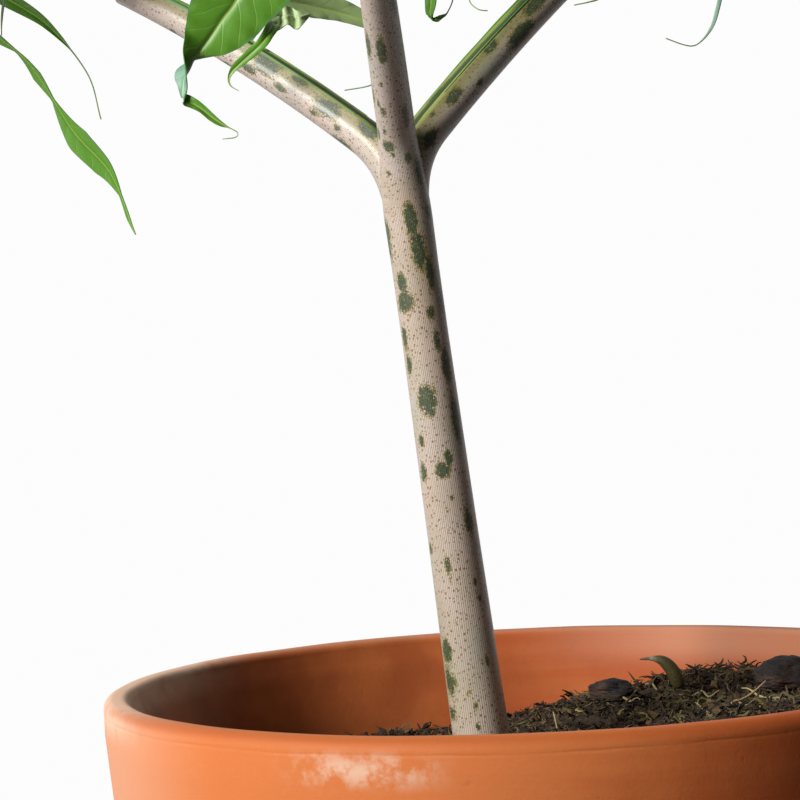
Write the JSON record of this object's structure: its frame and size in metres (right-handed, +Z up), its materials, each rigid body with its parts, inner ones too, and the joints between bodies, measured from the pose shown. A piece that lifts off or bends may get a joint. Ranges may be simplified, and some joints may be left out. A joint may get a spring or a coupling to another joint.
{
  "type": "potted amorphophallus",
  "caption": "Clay pot of soil with one tall foliage plant: a mottled stalk that opens into three arms of drooping green leaflets.",
  "frame": {"origin": "middle of the pot's foot, on the surface it stands on, on the pot's own axis", "axes": "+Z up along the pot's axis, -Y towards the front from which the picture is taken, +X to its right"},
  "size_m": [0.7388, 0.6438, 0.6532],
  "materials": {
    "terracotta": "unglazed fired clay, matt",
    "potting_mix": "loose dark peat mix with moss and fibres",
    "tuber_skin": "rough brown skin",
    "stalk_skin": "pinkish skin with grey-green blotches, satin",
    "leaf_green": "glossy green blade, paler below",
    "bark": "rough dark bark"
  },
  "bodies": {
    "root": {"pot": "terracotta", "soil": "potting_mix", "tuber": "tuber_skin", "leaf_stalk": "stalk_skin", "leaf_division_front": "leaf_green", "leaf_division_left": "leaf_green", "leaf_division_right": "leaf_green", "bark_chip_large": "bark", "bark_chip_dark": "bark", "bark_chip_by_stalk": "bark", "bark_chip_front": "bark", "bark_chip_left": "bark"}
  },
  "joints": []
}
